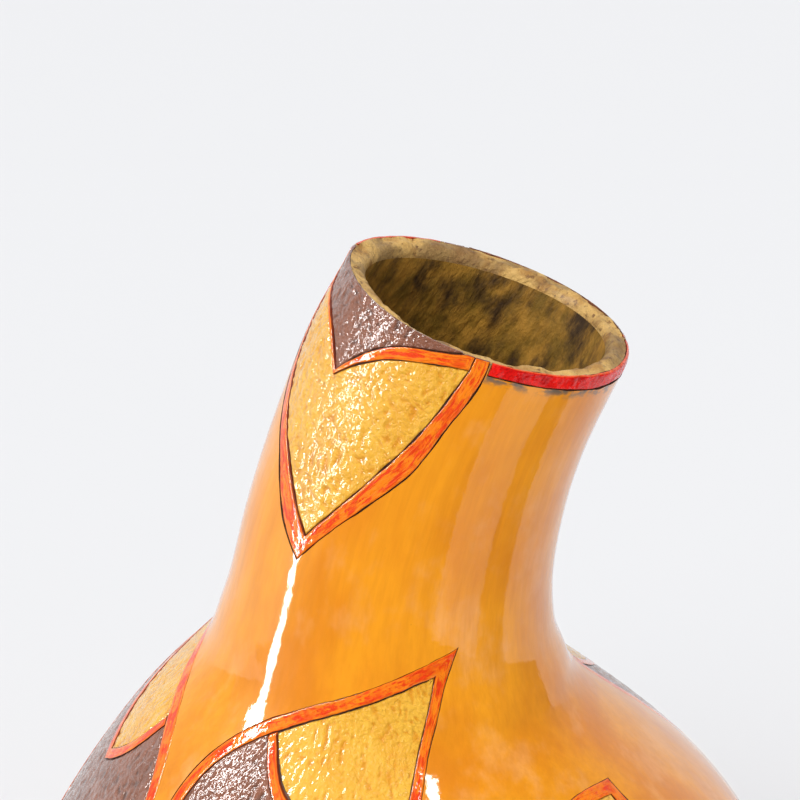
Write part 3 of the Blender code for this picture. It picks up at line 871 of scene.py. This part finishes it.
def surface(name, roughness, coat_weight=0.0, coat_roughness=0.05, specular=0.5):
    """New material whose Principled shader has its constant values; returns it and its tree."""
    made = bpy.data.materials.get(name)
    if made is not None:
        bpy.data.materials.remove(made)
    made = bpy.data.materials.new(name)
    made.use_nodes = True
    shader = made.node_tree.nodes["Principled BSDF"]
    shader.inputs["Roughness"].default_value = roughness
    shader.inputs["Coat Weight"].default_value = coat_weight
    shader.inputs["Coat Roughness"].default_value = coat_roughness
    shader.inputs["Specular IOR Level"].default_value = specular
    return made, made.node_tree


def coloured(tree, colour, normal):
    """Join a colour and a normal to a material's shader."""
    shader = tree.nodes["Principled BSDF"]
    tree.links.new(colour, shader.inputs["Base Color"])
    tree.links.new(normal, shader.inputs["Normal"])


def rippled(tree, scale, height):
    """Ripple the lacquer over a material with brush marks and dust."""
    ripples = add(tree, "ShaderNodeTexNoise", {"Vector": attribute(tree, "upright"),
                                               "Scale": scale, "Detail": 2.0})
    bump = add(tree, "ShaderNodeBump", {"Height": ripples.outputs[0], "Distance": height})
    tree.links.new(bump.outputs[0], tree.nodes["Principled BSDF"].inputs["Coat Normal"])


def opaque(colour):
    """Colour with its alpha."""
    return (*colour, 1.0)


def lacquered_rind():
    """Honey and amber rind with upright fibres under a gloss lacquer."""
    finish = bpy.context.scene.gourd_finish
    made, tree = surface("lacquered_rind", 0.45, 1.0, 0.05, 0.12)
    upright = attribute(tree, "upright")
    blotch = placed(tree, "Mottle", {"Vector": upright, "Scale": 34.0, "Stretch": 2.2,
                                     "Low": 0.34, "High": 0.62})
    fibre = placed(tree, "Mottle", {"Vector": upright, "Scale": 620.0, "Stretch": 16.0,
                                    "Low": 0.30, "High": 0.64})
    streak = placed(tree, "Mottle", {"Vector": upright, "Scale": 150.0, "Stretch": 9.0,
                                     "Low": 0.34, "High": 0.66})
    pale = placed(tree, "Mottle", {"Vector": upright, "Scale": 75.0, "Stretch": 1.5,
                                   "Low": 0.50, "High": 0.70})
    speck = placed(tree, "Mottle", {"Vector": upright, "Scale": 520.0, "Stretch": 1.3,
                                    "Low": 0.665, "High": 0.73})
    mould = placed(tree, "Mottle", {"Vector": upright, "Scale": 62.0, "Stretch": 1.4,
                                    "Low": 0.60, "High": 0.70})
    base = mixed(tree, blotch, opaque(finish.amber), opaque(finish.honey))
    deep = opaque([0.82 * channel for channel in finish.amber])
    light = opaque([channel + 0.16 * (1 - channel) for channel in finish.honey])
    base = mixed(tree, pale, base, mixed(tree, 0.35, base, light))
    base = mixed(tree, fibre, mixed(tree, 0.22, base, deep), base)
    base = mixed(tree, streak, mixed(tree, 0.25, base, deep), base)
    grime = add(tree, "ShaderNodeMath", {0: speck, 1: mould}, operation="MULTIPLY").outputs[0]
    grime = add(tree, "ShaderNodeMath", {0: grime, 1: 0.8}, operation="MULTIPLY").outputs[0]
    base = mixed(tree, grime, base, (0.16, 0.07, 0.02, 1.0))
    level = add(tree, "ShaderNodeSeparateXYZ", {0: upright}).outputs[2]
    smudge = placed(tree, "Mottle", {"Vector": upright, "Scale": 240.0, "Stretch": 0.6,
                                     "Low": 0.42, "High": 0.62})
    under_band = ranged(tree, level, MOUTH_LEVEL - 7.0 * MM, MOUTH_LEVEL - 4.2 * MM)
    soot = add(tree, "ShaderNodeMath", {0: smudge, 1: under_band}, operation="MULTIPLY").outputs[0]
    base = mixed(tree, soot, base, (0.17, 0.12, 0.08, 1.0))
    bump = placed(tree, "Hand Relief", {"Vector": upright, "Scale": 120.0, "Stretch": 5.0,
                                        "Height": 0.0004})
    coloured(tree, base, bump)
    rippled(tree, 300.0, 0.00005)
    return made


def raw_rim():
    """Dry sawn edge of the rind, pale tan with darker pores."""
    made, tree = surface("raw_rim", 0.7, 0.15, 0.3, 0.3)
    upright = attribute(tree, "upright")
    patch = placed(tree, "Mottle", {"Vector": upright, "Scale": 150.0, "Stretch": 1.0,
                                    "Low": 0.34, "High": 0.60})
    pore = placed(tree, "Mottle", {"Vector": upright, "Scale": 520.0, "Stretch": 1.0,
                                   "Low": 0.55, "High": 0.68})
    shade = placed(tree, "Mottle", {"Vector": upright, "Scale": 62.0, "Stretch": 1.0,
                                    "Low": 0.47, "High": 0.62})
    base = mixed(tree, patch, (0.42, 0.205, 0.045, 1.0), (0.70, 0.43, 0.13, 1.0))
    base = mixed(tree, pore, base, (0.25, 0.12, 0.035, 1.0))
    base = mixed(tree, shade, base, mixed(tree, 0.6, base, (0.16, 0.09, 0.04, 1.0)))
    coloured(tree, base, placed(tree, "Hand Relief", {"Vector": upright, "Scale": 650.0,
                                                      "Stretch": 1.0, "Height": 0.001}))
    return made


def scraped_inside():
    """Scraped inside of the shell, ochre with olive and dark stains."""
    made, tree = surface("scraped_inside", 0.8, specular=0.2)
    upright = attribute(tree, "upright")
    olive = placed(tree, "Mottle", {"Vector": upright, "Scale": 170.0, "Stretch": 1.3,
                                    "Low": 0.36, "High": 0.66})
    stain = placed(tree, "Mottle", {"Vector": upright, "Scale": 150.0, "Stretch": 1.5,
                                    "Low": 0.42, "High": 0.70})
    base = mixed(tree, olive, (0.42, 0.21, 0.03, 1.0), (0.20, 0.11, 0.014, 1.0))
    base = mixed(tree, stain, base, (0.050, 0.026, 0.010, 1.0))
    coloured(tree, base, placed(tree, "Hand Relief", {"Vector": upright, "Scale": 300.0,
                                                      "Stretch": 2.0, "Height": 0.002}))
    return made


def char():
    """Burnt sides and floor of the carved lines."""
    made, tree = surface("char", 0.6, specular=0.3)
    upright = attribute(tree, "upright")
    ash = placed(tree, "Mottle", {"Vector": upright, "Scale": 500.0, "Stretch": 1.0,
                                  "Low": 0.35, "High": 0.7})
    coloured(tree, mixed(tree, ash, (0.06, 0.028, 0.016, 1.0), (0.16, 0.075, 0.04, 1.0)),
             placed(tree, "Hand Relief", {"Vector": upright, "Scale": 900.0, "Stretch": 1.0,
                                          "Height": 0.0004}))
    return made


def stained_band():
    """Orange stain crossed by red strokes that follow the band."""
    finish = bpy.context.scene.gourd_finish
    made, tree = surface("red_stain", 0.45, 1.0, 0.05, 0.1)
    stroke = attribute(tree, "stroke")
    edge = attribute(tree, "edge")
    brush = placed(tree, "Mottle", {"Vector": stroke, "Scale": 260.0, "Stretch": 1.0,
                                    "Low": 0.45, "High": 0.60})
    pool = placed(tree, "Mottle", {"Vector": attribute(tree, "upright"), "Scale": 170.0,
                                   "Stretch": 1.0, "Low": 0.46, "High": 0.68})
    scratch = placed(tree, "Mottle", {"Vector": stroke, "Scale": 620.0, "Stretch": 1.0,
                                      "Low": 0.62, "High": 0.70})
    base = mixed(tree, brush, opaque(finish.orange), opaque(finish.red))
    deep = opaque([0.72 * channel for channel in finish.red])
    base = mixed(tree, pool, base, mixed(tree, 0.75, base, opaque(finish.red)))
    base = mixed(tree, scratch, base, mixed(tree, 0.7, base, deep))
    base = mixed(tree, ranged(tree, edge, 0.0001, 0.0006),
                 mixed(tree, 0.5, base, opaque(finish.orange)), base)
    base = placed(tree, "Burnt Edge", {"Colour": base, "Edge": edge, "Width": 0.00018,
                                       "Burn": (0.20, 0.03, 0.01, 1.0)})
    coloured(tree, base, placed(tree, "Hand Relief", {"Vector": stroke, "Scale": 300.0,
                                                      "Stretch": 1.0, "Height": 0.0006}))
    rippled(tree, 700.0, 0.0001)
    return made


def rim_paint():
    """Glossy deep red of the band at the rim, dabbed on in small facets."""
    made, tree = surface("rim_red", 0.5, 0.7, 0.08, 0.05)
    upright = attribute(tree, "upright")
    dab = placed(tree, "Mottle", {"Vector": upright, "Scale": 260.0, "Stretch": 1.0,
                                  "Low": 0.35, "High": 0.62})
    base = mixed(tree, dab, (0.60, 0.003, 0.003, 1.0), (0.93, 0.012, 0.007, 1.0))
    base = placed(tree, "Burnt Edge", {"Colour": base, "Edge": attribute(tree, "edge"),
                                       "Width": 0.0002, "Burn": (0.85, 0.10, 0.02, 1.0)})
    coloured(tree, base, placed(tree, "Hand Relief", {"Vector": upright, "Scale": 300.0,
                                                      "Stretch": 1.0, "Height": 0.0025}))
    rippled(tree, 380.0, 0.0004)
    return made


def field(name, low, high, grain, height):
    """Tooled field whose grooves hold the darker colour, under gloss lacquer."""
    made, tree = surface(name, 0.3, 1.0, 0.07, 0.25)
    upright = attribute(tree, "upright")
    wash = placed(tree, "Mottle", {"Vector": upright, "Scale": 120.0, "Stretch": 1.3,
                                   "Low": 0.38, "High": 0.64})
    base = mixed(tree, ranged(tree, attribute(tree, "relief"), -1.3, 0.3), low, high)
    base = mixed(tree, wash, mixed(tree, 0.35, base, low), base)
    base = placed(tree, "Burnt Edge", {"Colour": base, "Edge": attribute(tree, "edge"),
                                       "Width": 0.0002, "Burn": low})
    coloured(tree, base, placed(tree, "Hand Relief", {"Vector": upright, "Scale": grain,
                                                      "Stretch": 1.0, "Height": height}))
    rippled(tree, 0.55 * grain, 0.7 * height)
    return made


def finishes():
    """Each kind of coat: its material, slot, depth below the rind and tooling."""
    finish = bpy.context.scene.gourd_finish
    sunk = bpy.context.scene.carving_shape.field_depth
    amber = opaque([channel * share for channel, share in zip(finish.gold, (0.84, 0.62, 0.25))])
    dark = opaque([0.42 * channel for channel in finish.brown])
    gold = field("gold_field", amber, opaque(finish.gold), 800.0, 0.0009)
    brown = field("brown_field", dark, opaque(finish.brown), 900.0, 0.0009)
    return {
        "band": {"top": stained_band(), "slot": "red_stain", "sink": 0.03 * MM,
                 "height": 0.03 * MM, "strokes": (0.0, 2.2 * MM, 2.2 * MM)},
        "rim": {"top": rim_paint(), "slot": "red_stain", "sink": 0.08 * MM,
                "height": 0.09 * MM, "strokes": (0.0, 2.4 * MM, 3.0 * MM)},
        "gold": {"top": gold, "slot": "gold_field", "sink": sunk, "height": 0.2 * MM,
                 "strokes": (math.radians(-35), 2.3 * MM, 2.2 * MM)},
        "brown": {"top": brown, "slot": "brown_field", "sink": sunk, "height": 0.2 * MM,
                  "strokes": (math.radians(-40), 2.0 * MM, 2.4 * MM)},
    }


# ----------------------------------------------------------------------------------- operators

def make_coats(group):
    """Make every coat of a group of motifs."""
    kinds = finishes() if "kinds" not in COATS else COATS["kinds"]
    COATS["kinds"] = kinds
    for (_, coats), unroll in carvings(group):
        for name, kind, loops in coats:
            coat(name, loops, unroll, kinds[kind])


COATS = {}


class GOURD_OT_shell(bpy.types.Operator):
    """Grow, saw and carve the rind"""
    bl_idname = "gourd.shell"
    bl_label = "Gourd shell"

    def execute(self, context):
        if not bpy.data.node_groups.get("Mottle"):
            shader_groups()
        gourd_shell([lacquered_rind(), raw_rim(), scraped_inside(), char()])
        return {"FINISHED"}


class GOURD_OT_pendants(bpy.types.Operator):
    """Fill the neck pendants' beds with their coats"""
    bl_idname = "gourd.pendants"
    bl_label = "Neck pendants"

    def execute(self, context):
        make_coats("pendants")
        return {"FINISHED"}


class GOURD_OT_rim_bands(bpy.types.Operator):
    """Fill the beds of the bands along the rim"""
    bl_idname = "gourd.rim_bands"
    bl_label = "Rim bands"

    def execute(self, context):
        make_coats("rim_bands")
        return {"FINISHED"}


class GOURD_OT_tulips(bpy.types.Operator):
    """Fill the belly tulips' beds with their coats"""
    bl_idname = "gourd.tulips"
    bl_label = "Belly tulips"

    def execute(self, context):
        make_coats("tulips")
        return {"FINISHED"}


class GOURD_OT_leaves(bpy.types.Operator):
    """Fill the small leaves' beds with their coats"""
    bl_idname = "gourd.leaves"
    bl_label = "Small leaves"

    def execute(self, context):
        make_coats("leaves")
        return {"FINISHED"}


def toward(azimuth, elevation, distance):
    """Place at a distance from the neck; azimuth 0 is the front and 90 the right, in degrees."""
    turn, rise = math.radians(azimuth), math.radians(elevation)
    return NECK_MIDDLE + distance * Vector((math.sin(turn) * math.cos(rise),
                                            -math.cos(turn) * math.cos(rise), math.sin(rise)))


def panel_light(name, azimuth, elevation, distance, size, radiance, colour=(1.0, 1.0, 1.0)):
    """Soft oval light facing the neck, seen in the gloss, as bright as stated whatever its size."""
    lamp = bpy.data.lights.new(name, "AREA")
    lamp.shape = "ELLIPSE"
    lamp.size, lamp.size_y = size
    lamp.energy = radiance * math.pi * math.pi / 4 * size[0] * size[1]
    lamp.color = colour
    made = bpy.data.objects.new(name, lamp)
    made.location = toward(azimuth, elevation, distance)
    made.rotation_euler = (NECK_MIDDLE - made.location).to_track_quat("-Z", "Y").to_euler()
    made.visible_diffuse = False
    made.visible_camera = False
    bpy.context.scene.collection.objects.link(made)


def dark_cards():
    """Black cards on the floor that only reflections see, as (first, last degree, near, far)."""
    surface_made, tree = surface("black_card", 1.0, specular=0.0)
    tree.nodes["Principled BSDF"].inputs["Base Color"].default_value = (0.01, 0.01, 0.01, 1.0)
    bm = bmesh.new()
    for first, last, near, far in DARK_CARDS:
        steps = max(2, int((last - first) / 6))
        rings = []
        for reach in (near, far):
            rings.append([])
            for i in range(steps + 1):
                turn = math.radians(first + (last - first) * i / steps)
                rings[-1].append(bm.verts.new((reach * math.sin(turn), -reach * math.cos(turn),
                                               1.0 * MM)))
        for i in range(steps):
            bm.faces.new((rings[0][i], rings[1][i], rings[1][i + 1], rings[0][i + 1]))
    bmesh.ops.recalc_face_normals(bm, faces=bm.faces)
    cards = bm_object("black_cards", bm, [surface_made])
    cards.visible_camera = False
    cards.visible_diffuse = False
    cards.visible_shadow = False


def studio_world():
    """Even pale surroundings for the eye, darker toward the front in reflections."""
    world = bpy.data.worlds.new("studio")
    world.use_nodes = True
    tree = world.node_tree
    way = add(tree, "ShaderNodeTexCoord", {}).outputs["Generated"]
    depth = add(tree, "ShaderNodeSeparateXYZ", {0: way}).outputs["Y"]
    behind = ranged(tree, depth, 0.12, 0.8)
    mirrored = mixed(tree, behind, (0.03, 0.03, 0.035, 1.0), (0.85, 0.85, 0.88, 1.0))
    path = add(tree, "ShaderNodeLightPath", {}).outputs["Is Glossy Ray"]
    colour = mixed(tree, path, (0.66, 0.665, 0.68, 1.0), mirrored)
    tree.links.new(colour, tree.nodes["Background"].inputs["Color"])
    bpy.context.scene.world = world


class GOURD_OT_studio(bpy.types.Operator):
    """Set the floor, the lights and the camera"""
    bl_idname = "gourd.studio"
    bl_label = "Studio"

    def execute(self, context):
        studio = context.scene.gourd_studio
        bm = bmesh.new()
        bmesh.ops.create_grid(bm, x_segments=1, y_segments=1, size=30.0)
        bmesh.ops.translate(bm, verts=bm.verts, vec=(0.0, 0.0, -0.1 * MM))
        floor_surface, tree = surface("floor", 0.8, specular=0.1)
        tree.nodes["Principled BSDF"].inputs["Base Color"].default_value = opaque(studio.floor)
        bm_object("floor", bm, [floor_surface])
        dark_cards()
        studio_world()

        panel_light("window_top", -79, 38, 1.2, (0.22, 1.05), 30.0)
        panel_light("window_foot", -75, 7, 1.2, (0.12, 0.95), 30.0)
        panel_light("lamp", 36, 51, 1.2, (0.09, 0.12), 30.0)
        sun = bpy.data.lights.new("daylight", "SUN")
        sun.energy = 2.2
        sun.angle = math.radians(50)
        day = bpy.data.objects.new("daylight", sun)
        day.rotation_euler = (NECK_MIDDLE - toward(-35, 52, 1)).to_track_quat("-Z", "Y").to_euler()
        day.visible_glossy = False
        context.scene.collection.objects.link(day)

        tilt = studio.elevation
        back = Vector((0.0, -math.cos(tilt), math.sin(tilt)))
        up = Vector((0.0, math.sin(tilt), math.cos(tilt)))
        lens = bpy.data.cameras.new("camera")
        lens.lens = 50.0
        lens.sensor_width = 24.0
        camera = bpy.data.objects.new("camera", lens)
        camera.location = (Vector((0.1 * MM, 0.0, MOUTH_LEVEL)) - up * 25.1 * MM
                           + back * studio.distance)
        camera.rotation_euler = (math.pi / 2 - tilt, 0.0, 0.0)
        context.scene.collection.objects.link(camera)
        context.scene.camera = camera
        context.scene.view_settings.view_transform = "Standard"
        return {"FINISHED"}


class GOURD_PT_panel(bpy.types.Panel):
    """The vase's parts, their sizes and colours"""
    bl_idname = "GOURD_PT_panel"
    bl_label = "Carved gourd"
    bl_space_type = "VIEW_3D"
    bl_region_type = "UI"
    bl_category = "Gourd"

    def draw(self, context):
        for settings in GROUPS:
            box = self.layout.box()
            for name in GROUPS[settings].__annotations__:
                box.prop(getattr(context.scene, settings), name)
        for operator in OPERATORS:
            self.layout.operator(operator.bl_idname)


GROUPS = {"gourd_shape": GourdShape, "carving_shape": CarvingShape, "gourd_finish": Finish,
          "gourd_studio": Studio}
OPERATORS = (GOURD_OT_shell, GOURD_OT_pendants, GOURD_OT_rim_bands, GOURD_OT_tulips,
             GOURD_OT_leaves, GOURD_OT_studio)


def register():
    """Register the settings, operators and panel."""
    for made in (*GROUPS.values(), *OPERATORS, GOURD_PT_panel):
        bpy.utils.register_class(made)
    for name, group in GROUPS.items():
        setattr(bpy.types.Scene, name, PointerProperty(type=group))


def unregister():
    """Undo register."""
    for name in GROUPS:
        delattr(bpy.types.Scene, name)
    for made in (GOURD_PT_panel, *OPERATORS[::-1], *list(GROUPS.values())[::-1]):
        bpy.utils.unregister_class(made)


def main():
    """Build the whole vase and its studio."""
    register()
    bpy.ops.gourd.shell()
    bpy.ops.gourd.pendants()
    bpy.ops.gourd.rim_bands()
    bpy.ops.gourd.tulips()
    bpy.ops.gourd.leaves()
    bpy.ops.gourd.studio()


if __name__ == "__main__":
    main()
